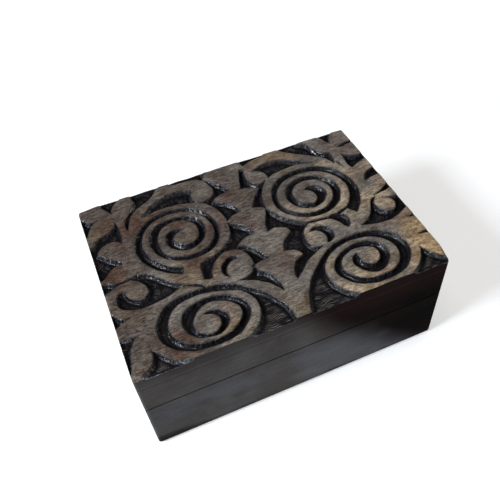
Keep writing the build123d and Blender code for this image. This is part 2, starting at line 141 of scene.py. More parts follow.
# ---- noise on the plan, the same each run -----------------------------------
def plan_noise(x, y, size, seed):
    """Smooth noise from -1 to 1 with lumps of the given size, in the units of x and y."""
    table = np.random.RandomState(seed).uniform(-1, 1, (NOISE_CELLS, NOISE_CELLS))
    u, v = x / size + NOISE_SHIFT[0], y / size + NOISE_SHIFT[1]
    i, j = np.floor(u).astype(int), np.floor(v).astype(int)
    fu, fv = u - i, v - j
    fu, fv = fu * fu * (3 - 2 * fu), fv * fv * (3 - 2 * fv)

    def corner(a, b):
        return table[(i + a) % NOISE_CELLS, (j + b) % NOISE_CELLS]

    near = corner(0, 0) * (1 - fu) + corner(1, 0) * fu
    far = corner(0, 1) * (1 - fu) + corner(1, 1) * fu
    return near * (1 - fv) + far * fv


def smooth_step(value, low, high):
    """0 below low, 1 above high, and an S-shaped rise between them."""
    t = np.clip((value - low) / (high - low), 0, 1)
    return t * t * (3 - 2 * t)


# ---- grids of points --------------------------------------------------------
def grid_faces(index):
    """Quads between the neighbouring points of a grid, facing up."""
    corners = [index[:-1, :-1], index[1:, :-1], index[1:, 1:], index[:-1, 1:]]
    return np.stack(corners, -1).reshape(-1, 4)


def grid_rim(index):
    """The points around a grid, once round."""
    return np.concatenate([index[:-1, 0], index[-1, :-1], index[:0:-1, -1], index[0, :0:-1]])


def band(above, below):
    """Quads that join one ring of points to the ring below it."""
    return np.stack([above, below, np.roll(below, -1), np.roll(above, -1)], -1)


def add_object(name, data):
    """A new object in the scene."""
    thing = bpy.data.objects.new(name, data)
    bpy.context.scene.collection.objects.link(thing)
    return thing


# ---- carved panel: read the pockets off the CAD panel -----------------------
def mesh_arrays(node):
    """Points of a CAD node, merged to the nearest micrometre, and its triangles."""
    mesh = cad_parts[node].data
    mesh.calc_loop_triangles()
    points = np.zeros(len(mesh.vertices) * 3)
    mesh.vertices.foreach_get("co", points)
    corners = np.zeros(len(mesh.loop_triangles) * 3, int)
    mesh.loop_triangles.foreach_get("vertices", corners)
    per_metre = 1e6
    keys = np.round(points.reshape(-1, 3) * per_metre).astype(np.int64)
    merged, index = np.unique(keys, axis=0, return_inverse=True)
    return merged / per_metre, index.reshape(-1)[corners].reshape(-1, 3)


def inside_outline(x, y, half_x, half_y):
    """How far a point of the plan lies inside the rounded outline of the lid."""
    over_x = np.abs(x) - (half_x - CORNER_ROUND)
    over_y = np.abs(y) - (half_y - CORNER_ROUND)
    outside = np.hypot(np.maximum(over_x, 0), np.maximum(over_y, 0))
    return CORNER_ROUND - outside - np.minimum(np.maximum(over_x, over_y), 0)


def pocket_floor(points, triangles, low_z, high_z):
    """The triangles of the pockets' floor, and its height."""
    z = points[triangles][:, :, 2]
    flat = np.ptp(z, axis=1) < LEVEL_TOLERANCE
    level = flat & (z[:, 0] > low_z + MM) & (z[:, 0] < high_z - MM)
    floor_z = np.median(z[level])
    keep = level & (np.abs(z[:, 0] - floor_z) < HEIGHT_TOLERANCE)
    return triangles[keep], floor_z


def pocket_edge(points, floor, half_x, half_y):
    """Points along the edges of the pockets, without those on the lid's outline."""
    pairs = np.concatenate([floor[:, [0, 1]], floor[:, [1, 2]], floor[:, [2, 0]]])
    pairs, uses = np.unique(np.sort(pairs, axis=1), axis=0, return_counts=True)
    pairs = pairs[uses == 1]
    start, end = points[pairs[:, 0], :2], points[pairs[:, 1], :2]
    middle = (start + end) / 2
    keep = inside_outline(middle[:, 0], middle[:, 1], half_x, half_y) > OUTLINE_MARGIN
    samples = []
    for a, b in zip(start[keep], end[keep]):
        count = max(1, math.ceil(np.hypot(*(b - a)) / OUTLINE_SAMPLE))
        share = (np.arange(count) / count)[:, None]
        samples.append(a + (b - a) * share)
    return np.concatenate(samples)


def in_pockets(points, floor, xs, ys):
    """For each crossing of the grid lines, whether it lies in a pocket."""
    inside = np.zeros((len(xs), len(ys)), bool)
    for triangle in points[floor][:, :, :2]:
        a, b, c = triangle
        i0, i1 = np.searchsorted(xs, [triangle[:, 0].min(), triangle[:, 0].max()])
        j0, j1 = np.searchsorted(ys, [triangle[:, 1].min(), triangle[:, 1].max()])
        if i0 == i1 or j0 == j1:
            continue
        area = (b[0] - a[0]) * (c[1] - a[1]) - (b[1] - a[1]) * (c[0] - a[0])
        if abs(area) < TINY_AREA:
            continue
        x = xs[i0:i1, None]
        y = ys[None, j0:j1]
        u = ((x - a[0]) * (c[1] - a[1]) - (y - a[1]) * (c[0] - a[0])) / area
        v = ((b[0] - a[0]) * (y - a[1]) - (b[1] - a[1]) * (x - a[0])) / area
        inside[i0:i1, j0:j1] |= (u >= -SLACK) & (v >= -SLACK) & (u + v <= 1 + SLACK)
    return inside


def grid_lines(half):
    """Grid lines across the lid: close together at its edges, where they round over."""
    count = round(2 * (half - EDGE_BAND) / GRID_STEP)
    middle = np.linspace(-half + EDGE_BAND, half - EDGE_BAND, count + 1)
    rows = np.array(EDGE_ROWS)
    return np.concatenate([-half + rows, middle, half - rows[::-1]])


def round_corners(x, y, half_x, half_y):
    """Moves the square corners of the grid in to the lid's rounded ones."""
    block = 2 * CORNER_ROUND
    over_x = np.maximum(np.abs(x) - (half_x - block), 0)
    over_y = np.maximum(np.abs(y) - (half_y - block), 0)
    reach = np.hypot(over_x, over_y)
    angle = np.arctan2(over_y, over_x)
    long_side = np.maximum(np.cos(angle), np.sin(angle))
    square = block / long_side
    inner = block - CORNER_ROUND
    # how far along this angle the rounded corner of that block lies
    turn = inner * (np.cos(angle) + np.sin(angle))
    curved = turn + np.sqrt(np.maximum(turn**2 - 2 * inner**2 + CORNER_ROUND**2, 0))
    straight = square * np.minimum(np.cos(angle), np.sin(angle)) < inner
    limit = np.where(straight, square, curved)
    scale = np.where(reach > 0, limit / square, 1.0)
    moved_x = np.where(reach > 0, np.sign(x) * (half_x - block + over_x * scale), x)
    moved_y = np.where(reach > 0, np.sign(y) * (half_y - block + over_y * scale), y)
    return np.where(over_x > 0, moved_x, x), np.where(over_y > 0, moved_y, y)


def edge_distance(x, y, edge, inside):
    """Signed distance to the nearest pocket edge, in mm, and that nearest point."""
    tree = KDTree(len(edge))
    for i, (px, py) in enumerate(edge):
        tree.insert((px, py, 0), i)
    tree.balance()
    distance = np.zeros(x.size)
    nearest = np.zeros(x.size, int)
    for i, (px, py) in enumerate(zip(x.ravel(), y.ravel())):
        _, nearest[i], distance[i] = tree.find((px, py, 0))
    signed = np.where(inside.ravel(), -distance, distance) / MM
    return signed.reshape(x.shape), edge[nearest].reshape(*x.shape, 2)


# ---- carved panel: the heights of a hand-carved surface, all in mm ----------
def gouge_marks(x, y, stroke):
    """Ridges that the gouge leaves on the floor, from 0 in the troughs to 1 on the crests.

    Along the front they run from side to side; elsewhere they run in from the pocket's edge.
    """
    wobble = 1.3 * plan_noise(x, y, 4.2, 11) + 0.55 * plan_noise(x, y, 1.7, 12)
    wave = 0.5 + 0.5 * np.cos(2 * math.pi * (y + wobble) / GOUGE_PITCH + 0.1 * x)
    broken = 0.78 + 0.55 * plan_noise(0.4 * x, y, 1.5, 13)
    rows = wave * np.clip(broken, 0, 1)
    front = smooth_step(-y, *FRONT_POCKETS)
    return front * rows + (1 - front) * np.clip(0.5 + 0.8 * stroke, 0, 1)


def rounding(radius, inside):
    """How far a rounded edge lies below the flat, at a distance inside the edge."""
    return radius - np.sqrt(np.maximum(radius**2 - np.clip(radius - inside, 0, radius) ** 2, 0))


def worn_edge(x, y, inner, corner):
    """How far the lid's rounded edge and worn corners lie below the top."""
    left, back_right, front_right = CORNER_SHARES
    share = np.where(x < 0, left, np.where(y > 0, back_right, front_right))
    worn = share * CORNER_WEAR * (1 - smooth_step(corner, 0, CORNER_WEAR_REACH))
    return rounding(EDGE_ROUND * (1 + worn) * (1 + 0.25 * plan_noise(x, y, 7, 25)), inner)


def wander(x, y, seed):
    """How far the carver's hand strayed along one axis."""
    return WANDER * plan_noise(x, y, 2.6, seed) + NICK * plan_noise(x, y, 0.9, seed + 2)


def carved_height(x, y, signed, inner, corner, depth, stroke):
    """Height of the surface against the top, what its edge lost to wear, and the gouge marks."""
    uneven = 0.10 * (1 + plan_noise(x, y, 14, 21)) + 0.03 * (1 + plan_noise(x, 3 * y, 2.2, 22))
    rolled = LIP_DROP * rounding(LIP_ROUND, np.maximum(signed, 0))
    dome = DOME * (1 - smooth_step(signed, 0, DOME_REACH))
    top = -rolled - dome - uneven
    lip = -LIP_DROP * LIP_ROUND - DOME - uneven
    run = WALL_RUN + WALL_RUN_SPREAD * (0.5 + 0.5 * plan_noise(x, y, 3.2, 23))
    run = run + STROKE_DEPTH * stroke
    fall = 1 - (1 - np.clip(-signed / run, 0, 1)) ** WALL_CURVE
    marks = gouge_marks(x, y, stroke)
    rise = GOUGE_HEIGHT * (0.4 + 0.6 * smooth_step(-signed, 1.5, 2.6)) * marks
    bottom = -depth + 0.12 * (1 + plan_noise(x, y, 5, 24)) + rise
    height = np.where(signed >= 0, top, lip + (bottom - lip) * fall)
    eased = np.where(signed >= 0, height, height - rounding(FLOOR_EDGE_ROUND, inner))
    lowered = np.minimum(eased, -worn_edge(x, y, inner, corner))
    return lowered, height - lowered, marks


def carved_surface(low, high):
    """The carved surface on a grid: its points in m, and the fields that the stain follows."""
    half_x, half_y = high.x, high.y
    points, triangles = mesh_arrays(PANEL)
    floor, floor_z = pocket_floor(points, triangles, low.z, high.z)
    depth = (high.z - floor_z) / MM
    edge = pocket_edge(points, floor, half_x, half_y)
    xs, ys = grid_lines(half_x), grid_lines(half_y)
    inside = in_pockets(points, floor, xs, ys)
    x, y = np.meshgrid(xs, ys, indexing="ij")
    x, y = round_corners(x, y, half_x, half_y)
    signed, nearest = edge_distance(x, y, edge, inside)
    inner = inside_outline(x, y, half_x, half_y)

    # points close to a pocket's edge move onto it, so that the lip runs clean
    snap = (np.abs(signed) * MM < SNAP_REACH) & (inner > SNAP_MARGIN)
    x = np.where(snap, nearest[..., 0], x)
    y = np.where(snap, nearest[..., 1], y)
    signed = np.where(snap, 0.0, signed)

    stroke = plan_noise(nearest[..., 0] / MM, nearest[..., 1] / MM, STROKE_SIZE, 27)
    corner = np.hypot(half_x - np.abs(x), half_y - np.abs(y)) / MM
    height, lost, marks = carved_height(x / MM, y / MM, signed, inner / MM, corner, depth, stroke)
    free = smooth_step(inner / MM, *WANDER_FADE)
    moved_x = x + free * wander(x / MM, y / MM, 31) * MM
    moved_y = y + free * wander(x / MM, y / MM, 32) * MM
    away_from_wall = 0.35 + 0.65 * smooth_step(-signed, 1.8, 3.8)
    in_front = 0.6 + 0.4 * smooth_step(-y / MM, *FRONT_POCKETS)
    fields = {
        "relief": np.clip(1 + (height + 0.7 * lost) / depth, 0, 1),
        "lip": signed,
        "crest": marks * away_from_wall * in_front,
        "stroke": stroke,
    }
    return np.stack([moved_x, moved_y, high.z + height * MM], -1), fields


def carved_panel():
    """The lid's carved board, as it left the carver: it stands for the CAD panel."""
    low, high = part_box(PANEL)
    place, fields = carved_surface(low, high)
    surface = place.reshape(-1, 3)
    index = np.arange(len(surface)).reshape(place.shape[:2])
    ring = grid_rim(index)
    rim = surface[ring]
    inset = 1 - GLUE_LINE / np.array([high.x, high.y])
    rows = [(low.z + (rim[:, 2] - low.z) * share, 1.0) for share in SIDE_SHARES]
    rows += [(low.z + GLUE_LINE, 1.0), (low.z, inset)]
    points = [surface]
    quads = [grid_faces(index)]
    above = ring
    for height, narrow in rows:
        row = rim.copy()
        row[:, :2] *= narrow
        row[:, 2] = height
        below = np.arange(len(ring)) + sum(len(part) for part in points)
        points.append(row)
        quads.append(band(above, below))
        above = below
    top_faces = len(quads[0])
    side_faces = (len(rows) - 1) * len(ring)

    mesh = bpy.data.meshes.new("carved_panel")
    faces = np.concatenate(quads).tolist() + [above[::-1].tolist()]
    mesh.from_pydata(np.concatenate(points).tolist(), [], faces)
    for name, values in fields.items():
        whole = np.full(len(mesh.vertices), SIDE_FIELDS[name], np.float32)
        whole[: values.size] = values.ravel()
        mesh.attributes.new(name, "FLOAT", "POINT").data.foreach_set("value", whole)
    number = np.arange(len(faces))
    mesh.materials.append(carved_wood())
    mesh.materials.append(dark_wood("panel_edge_wood", 0))
    mesh.polygons.foreach_set("material_index", (number >= top_faces).astype(int))
    mesh.polygons.foreach_set("use_smooth", number < top_faces + side_faces)
    mesh.update()
    piece = add_object("carved_panel", mesh)
    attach(piece, "lid")
    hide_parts(PANEL)


# ---- materials --------------------------------------------------------------
class Graph:
    """A node material, put together a node at a time."""

    def __init__(self, name):
        self.material = bpy.data.materials.new(name)
        self.material.use_nodes = True
        self.tree = self.material.node_tree
        self.shader = self.tree.nodes["Principled BSDF"]
        places = self.add("ShaderNodeTexCoord")
        self.coords = places.outputs["Object"]
        self.surface_normal = places.outputs["Normal"]

    def add(self, kind, settings=None, **inputs):
        node = self.tree.nodes.new(kind)
        for key, value in (settings or {}).items():
            setattr(node, key, value)
        for key, value in inputs.items():
            self.put(node.inputs[key.replace("_", " ")], value)
        return node

    def put(self, socket, value):
        if isinstance(value, bpy.types.NodeSocket):
            self.tree.links.new(value, socket)
        else:
            socket.default_value = value

    def split(self, vector):
        """The X, Y and Z of a vector."""
        node = self.add("ShaderNodeSeparateXYZ", Vector=vector)
        return [node.outputs[axis] for axis in "XYZ"]

    def mapped(self, scale, vector=None):
        node = self.add("ShaderNodeMapping", Vector=self.coords if vector is None else vector)
        node.inputs["Scale"].default_value = scale
        return node.outputs["Vector"]

    def wavy(self, noise, reach):
        """The coordinates, moved across the grain by up to half of reach."""
        shift = self.add("ShaderNodeCombineXYZ")
        self.put(shift.inputs["Y"], self.math("MULTIPLY", self.math("SUBTRACT", noise, 0.5), 2 * reach))
        moved = self.add("ShaderNodeVectorMath", {"operation": "ADD"})
        self.put(moved.inputs[0], self.coords)
        self.put(moved.inputs[1], shift.outputs[0])
        return moved.outputs[0]

    def noise(self, vector, scale, detail=3.0, roughness=0.55, distortion=0.0):
        node = self.add(
            "ShaderNodeTexNoise", Vector=vector, Scale=scale, Detail=detail,
            Roughness=roughness, Distortion=distortion,
        )
        return node.outputs["Fac"]

    def math(self, operation, a, b=0.0, clamp=False):
        node = self.add("ShaderNodeMath", {"operation": operation, "use_clamp": clamp})
        self.put(node.inputs[0], a)
        self.put(node.inputs[1], b)
        return node.outputs[0]

    def between(self, value, low, high, to_low=0.0, to_high=1.0):
        """An S-shaped step: to_low up to low, to_high from high on."""
        node = self.add("ShaderNodeMapRange", {"interpolation_type": "SMOOTHSTEP"}, Value=value)
        ends = {"From Min": low, "From Max": high, "To Min": to_low, "To Max": to_high}
        for key, number in ends.items():
            node.inputs[key].default_value = number
        return node.outputs["Result"]

    def mix(self, share, a, b, blend="MIX"):
        node = self.add("ShaderNodeMix", {"data_type": "RGBA", "blend_type": blend})
        self.put(node.inputs["Factor"], share)
        self.put(node.inputs[6], a)
        self.put(node.inputs[7], b)
        return node.outputs[2]

    def blend(self, share, a, b):
        node = self.add("ShaderNodeMix", {"data_type": "FLOAT"})
        self.put(node.inputs["Factor"], share)
        self.put(node.inputs["A"], a)
        self.put(node.inputs["B"], b)
        return node.outputs["Result"]

    def attribute(self, name):
        node = self.add("ShaderNodeAttribute", {"attribute_name": name})
        return node.outputs["Fac"]

    def bump(self, height, distance, strength=1.0, normal=None):
        node = self.add("ShaderNodeBump", Height=height, Distance=distance, Strength=strength)
        if normal is not None:
            self.put(node.inputs["Normal"], normal)
        return node.outputs["Normal"]

    def finish(self, **inputs):
        for key, value in inputs.items():
            self.put(self.shader.inputs[key.replace("_", " ")], value)
        return self.material


def srgb(red, green, blue):
    """A colour given from 0 to 255 as the linear one that shaders take."""
    def linear(value):
        v = value / 255
        return v / 12.92 if v <= 0.04045 else ((v + 0.055) / 1.055) ** 2.4
    return (linear(red), linear(green), linear(blue), 1.0)


def carved_wood():
    """Dark waxed stain in the cuts, rubbed back to worn grey-brown wood on top, with painted shade
    along the edges of the tops.
    """
    g = Graph("carved_wood")
    relief, lip, crest = g.attribute("relief"), g.attribute("lip"), g.attribute("crest")
    drift = g.noise(g.coords, 300.0, 2.0, 0.5)
    wavy = g.wavy(drift, 0.5 * MM)
    grain = g.noise(g.mapped((330, 1400, 1400), wavy), 1.0, 5.0, 0.65, 0.3)
    flecks = g.noise(g.mapped((420, 1900, 1900), wavy), 1.0, 3.0, 0.6)
    pale = g.noise(g.mapped((150, 520, 520), wavy), 1.0, 5.0, 0.65)
    patches = g.noise(g.coords, 34.0, 3.0, 0.5)
    warm = g.noise(g.coords, 21.0, 2.0, 0.5)
    fine = g.noise(g.coords, 1500.0, 3.0, 0.6)

    # from dark at the back left to pale at the front right
    x, y, _ = g.split(g.coords)
    trend = g.math("SUBTRACT", g.math("MULTIPLY", x, 4.1), g.math("MULTIPLY", y, 2.8))
    trend = g.math("ADD", trend, g.between(patches, 0.3, 0.7, -0.22, 0.22))
    trend = g.math("ADD", trend, g.between(warm, 0.3, 0.7, -0.10, 0.10))
    figure = g.between(grain, 0.36, 0.64, 0.05, 0.55)
    figure = g.math("ADD", figure, g.between(pale, 0.36, 0.64, 0.0, 0.45))
    figure = g.math("MULTIPLY", figure, g.between(flecks, 0.52, 0.64, 1.0, 0.20))
    figure = g.math("MULTIPLY", figure, g.between(fine, 0.38, 0.62, 0.76, 1.18))
    low = g.mix(g.between(trend, -0.34, 0.05), srgb(30, 24, 21), srgb(56, 51, 46))
    low = g.mix(g.between(trend, 0.05, 0.48), low, srgb(84, 71, 58))
    high = g.mix(g.between(trend, -0.34, 0.05), srgb(103, 92, 84), srgb(129, 121, 113))
    high = g.mix(g.between(trend, 0.05, 0.48), high, srgb(184, 164, 137))
    tan = g.mix(figure, low, high)
    smudge = g.between(g.noise(g.coords, 85.0, 4.0, 0.6), 0.46, 0.66, 0.0, 0.50)
    tan = g.mix(smudge, tan, srgb(46, 38, 32))
    ruddy = g.between(g.noise(g.coords, 44.0, 3.0, 0.5), 0.48, 0.66, 0.0, 0.8)
    ruddy = g.math("MULTIPLY", ruddy, g.between(trend, -0.30, 0.20, 1.0, 0.3))
    tan = g.mix(ruddy, tan, srgb(235, 198, 186), "MULTIPLY")
    tan = g.mix(g.between(warm, 0.46, 0.62, 0.0, 0.7), tan, srgb(255, 240, 212), "MULTIPLY")
    # painted shade: the top turns darker within about 1.1 mm of a pocket's edge, where it rounds over
    # into the cut
    rubbed = g.mix(g.between(lip, 0.0, 1.1, 0.55, 0.0), tan, srgb(40, 33, 30))

    _, _, facing = g.split(g.surface_normal)
    steep = g.between(facing, 0.45, 0.92, 1.0, 0.0)
    stain = g.mix(g.between(fine, 0.4, 0.62), srgb(4, 3, 4), srgb(13, 11, 13))
    ridge = g.mix(g.between(crest, 0.50, 0.90), srgb(58, 54, 55), srgb(92, 84, 77))
    scraped = g.mix(g.between(crest, 0.15, 0.85, 0.0, 0.90), stain, ridge)
    chips = g.noise(g.coords, 900.0, 4.0, 0.65)
    glint = g.between(g.noise(g.coords, 520.0, 5.0, 0.7), 0.47, 0.59)
    wall = g.mix(g.between(chips, 0.40, 0.68), srgb(5, 4, 6), srgb(21, 20, 27))
    ticks = g.between(g.attribute("stroke"), 0.05, 0.65)
    ticks = g.math("MULTIPLY", ticks, g.between(chips, 0.40, 0.60))
    wall = g.mix(g.math("MULTIPLY", ticks, 0.45), wall, srgb(74, 75, 86))
    cut = g.mix(steep, scraped, wall)
    ragged = g.math("ADD", relief, g.between(fine, 0.3, 0.7, -0.07, 0.07))
    on_top = g.between(ragged, 0.62, 0.88)
    colour = g.mix(on_top, cut, rubbed)

    gloss_top = g.between(grain, 0.3, 0.7, 0.72, 0.54)
    gloss_top = g.math("SUBTRACT", gloss_top, g.between(lip, 0.2, 0.9, 0.18, 0.0))
    gloss = g.blend(on_top, g.blend(steep, 0.40, 0.55), gloss_top)
    raised = g.math("SUBTRACT", g.math("MULTIPLY", grain, 0.8), g.math("MULTIPLY", flecks, 0.6))
    in_cut = g.math("SUBTRACT", 1.0, on_top)
    rough_cut = g.math("MULTIPLY", in_cut, chips)
    normal = g.bump(raised, 0.11 * MM)
    normal = g.bump(fine, 0.06 * MM, 0.8, normal)
    normal = g.bump(rough_cut, 0.30 * MM, 1.0, normal)
    wax = g.between(trend, -0.30, 0.30, 1.0, 0.5)
    wax = g.math("MULTIPLY", wax, g.math("ADD", glint, 0.12, clamp=True))
    wax = g.math("MULTIPLY", wax, g.math("MULTIPLY", steep, in_cut))
    return g.finish(
        Base_Color=colour, Roughness=gloss, Normal=normal, Specular_IOR_Level=0.08,
        Coat_Weight=wax, Coat_Roughness=0.13, Coat_IOR=1.8, Coat_Normal=normal,
    )


def dark_wood(name, along):
    """Near-black stained wood under a satin finish, with its grain along X (0) or Y (1).

    Its colour is painted darker over a diagonal patch at the right of the front, as painted shade, as
    in the photograph, and lightened elsewhere by a grey painted sheen, most of all low down.
    """
    g = Graph(name)

    def stretched(length, width):
        return g.mapped((length, width, width) if along == 0 else (width, length, width))

    lines = g.noise(stretched(40, 900), 1.0, 4.0, 0.6, 0.3)
    bands = g.noise(stretched(16, 44), 1.0, 3.0, 0.5, 0.5)
    pores = g.noise(stretched(330, 2900), 1.0, 2.0, 0.5)
    clouds = g.noise(g.coords, 19.0, 3.0, 0.5)
    rub = g.noise(g.coords, 60.0, 4.0, 0.6)
    dust = g.noise(g.coords, 1900.0, 2.0, 0.6)
    x, y, z = g.split(g.coords)
    # slope runs up the diagonal of the front's painted shade and of the band of painted sheen beside it
    slope = g.math("ADD", x, g.math("MULTIPLY", z, 1.15))
    slope = g.math("ADD", slope, g.between(clouds, 0.3, 0.7, -0.010, 0.010))
    on_front = g.between(y, FRONT_Y + 0.5 * MM, FRONT_Y + 1.5 * MM, 1.0, 0.0)
    elsewhere = g.between(clouds, 0.3, 0.7, 0.50, 0.75)
    # depth: how far the colour turns to the near-black deep colour. On the front, over a diagonal patch
    # at the right, that is painted shade; on the other sides it is random patches of darker stain
    depth = g.blend(on_front, elsewhere, g.between(slope, 0.056, 0.100))
    # painted sheen: how much grey painted reflection lies on the wood. It is more in cloudy patches, in
    # a band just left of the painted shade, and low down
    painted_sheen = g.between(clouds, 0.34, 0.64, 0.0, 0.40)
    painted_sheen = g.math("ADD", painted_sheen, g.between(slope, -0.050, 0.045, 0.0, 0.25))
    painted_sheen = g.math("ADD", painted_sheen, g.between(z, 0.012, 0.040, 0.40, 0.06))
    # the colours of the painted sheen: partly bluish grey low down, neutral grey higher up
    cool = g.mix(g.between(clouds, 0.36, 0.60), srgb(88, 85, 82), srgb(91, 93, 98))
    pale = g.mix(g.between(z, 0.030, 0.048), cool, srgb(88, 85, 84))
    # worn here is the painted sheen over a dark brown-black base; the brown stain bands and the lighter
    # rubbed patches mixed in after it are real
    worn = g.mix(painted_sheen, srgb(34, 31, 30), pale)
    worn = g.mix(g.between(bands, 0.40, 0.66, 0.0, 0.35), worn, srgb(54, 47, 42))
    worn = g.mix(g.between(rub, 0.52, 0.74, 0.0, 0.35), worn, srgb(84, 82, 82))
    deep = g.mix(g.between(bands, 0.35, 0.65), srgb(5, 4, 4), srgb(17, 11, 9))
    deep = g.mix(g.between(z, 0.045, 0.064), deep, srgb(26, 15, 13))
    colour = g.mix(depth, worn, deep)
    colour = g.mix(g.between(z, 0.058, 0.072, 0.0, 0.45), colour, srgb(24, 18, 17))
    colour = g.mix(g.between(lines, 0.38, 0.66, 0.0, 0.14), colour, srgb(20, 17, 17))
    colour = g.mix(g.between(pores, 0.60, 0.70, 0.0, 0.4), colour, srgb(12, 10, 10))
    # darker towards the bottom: a near-black band about 5 mm high along the foot, with a ragged top,
    # reaching about twice as high at the left corner of the front
    height = g.math("ADD", z, g.between(rub, 0.3, 0.7, -1.6 * MM, 1.6 * MM))
    corner = g.between(x, -0.089, -0.050, FOOT_DARK_BAND, 0.0)
    height = g.math("SUBTRACT", height, g.math("MULTIPLY", corner, on_front))
    colour = g.mix(g.between(height, 0.0, FOOT_DARK_BAND * 1.3, 0.95, 0.0), colour, srgb(10, 9, 11))
    from_seam = g.math("ABSOLUTE", g.math("SUBTRACT", z, SEAM_Z))
    _, _, facing = g.split(g.surface_normal)
    upright = g.between(g.math("ABSOLUTE", facing), 0.5, 0.9, 0.9, 0.0)
    seam = g.math("MULTIPLY", upright, g.between(from_seam, 0.25 * MM, 0.9 * MM, 1.0, 0.0))
    colour = g.mix(seam, colour, srgb(6, 5, 5))
    from_joint = g.math("ABSOLUTE", g.math("SUBTRACT", z, JOINT_Z))
    colour = g.mix(g.between(from_joint, 0.10 * MM, 0.40 * MM, 0.60, 0.0), colour, srgb(8, 7, 7))
    gloss = g.between(clouds, 0.3, 0.7, 0.36, 0.46)
    gloss = g.math("ADD", gloss, g.between(dust, 0.3, 0.7, -0.03, 0.04))
    gloss = g.math("ADD", gloss, g.math("MULTIPLY", depth, 0.30))
    normal = g.bump(lines, 0.05 * MM)
    normal = g.bump(pores, 0.04 * MM, 0.8, normal)
    normal = g.bump(clouds, 1.2 * MM, 0.25, normal)
    return g.finish(Base_Color=colour, Roughness=gloss, Normal=normal, Specular_IOR_Level=0.012)


def floor_wood():
    """The plain bottom board: thinner stain, a little browner and drier."""
    g = Graph("floor_wood")
    lines = g.noise(g.mapped((18, 500, 500)), 1.0, 5.0, 0.6, 0.6)
    pores = g.noise(g.mapped((220, 2600, 2600)), 1.0, 2.0, 0.5)
    rub = g.noise(g.coords, 24.0, 4.0, 0.6)
    colour = g.mix(g.between(lines, 0.35, 0.65), srgb(88, 66, 50), srgb(60, 45, 36))
    colour = g.mix(g.between(rub, 0.45, 0.7, 0.0, 0.5), colour, srgb(108, 86, 68))
    colour = g.mix(g.between(pores, 0.58, 0.70, 0.0, 0.7), colour, srgb(34, 25, 20))
    normal = g.bump(g.math("ADD", lines, pores), 0.12 * MM)
    return g.finish(Base_Color=colour, Roughness=g.between(rub, 0.3, 0.7, 0.55, 0.7), Normal=normal)


def brass(name, bright, dull):
    """Aged brass: brown tarnish in the open, rubbed bright in fine scratches."""
    g = Graph(name)
    cloud = g.noise(g.coords, 260.0, 4.0, 0.6)
    spots = g.noise(g.coords, 1400.0, 3.0, 0.6)
    scratch = g.noise(g.mapped((300, 5000, 5000)), 1.0, 2.0, 0.5)
    colour = g.mix(g.between(cloud, 0.35, 0.65), srgb(*bright), srgb(*dull))
    colour = g.mix(g.between(spots, 0.60, 0.74, 0.0, 0.8), colour, srgb(70, 50, 30))
    gloss = g.between(cloud, 0.3, 0.7, 0.26, 0.42)
    gloss = g.math("ADD", gloss, g.between(scratch, 0.4, 0.6, -0.04, 0.08))
    normal = g.bump(g.math("ADD", scratch, g.math("MULTIPLY", spots, 0.5)), 0.03 * MM)
    return g.finish(Base_Color=colour, Metallic=1.0, Roughness=gloss, Normal=normal)


def steel():
    """Dull nail heads with a little rust."""
    g = Graph("nail_steel")
    cloud = g.noise(g.coords, 900.0, 4.0, 0.6)
    rust = g.noise(g.coords, 500.0, 4.0, 0.7)
    colour = g.mix(g.between(cloud, 0.35, 0.65), srgb(120, 118, 114), srgb(160, 158, 152))
    colour = g.mix(g.between(rust, 0.56, 0.66, 0.0, 0.8), colour, srgb(96, 58, 36))
    normal = g.bump(cloud, 0.04 * MM)
    gloss = g.between(rust, 0.4, 0.65, 0.34, 0.7)
    return g.finish(Base_Color=colour, Metallic=0.85, Roughness=gloss, Normal=normal)


def felt_cloth():
    """Short-nap felt: matted fibres, thin pale fuzz and slightly darker worn patches."""
    g = Graph("felt")
    fibres = g.noise(g.coords, 2600.0, 4.0, 0.7, 1.5)
    clumps = g.noise(g.coords, 620.0, 3.0, 0.6, 0.6)
    worn = g.noise(g.coords, 22.0, 3.0, 0.5)
    colour = g.mix(g.between(fibres, 0.35, 0.65), srgb(22, 52, 38), srgb(44, 84, 62))
    colour = g.mix(g.between(clumps, 0.5, 0.7, 0.0, 0.5), colour, srgb(30, 62, 46))
    colour = g.mix(g.between(worn, 0.42, 0.62, 0.0, 0.5), colour, srgb(22, 44, 34))
    normal = g.bump(g.math("ADD", fibres, clumps), 0.22 * MM)
    return g.finish(
        Base_Color=colour, Roughness=0.95, Normal=normal, Sheen_Weight=0.2, Sheen_Roughness=0.5,
    )


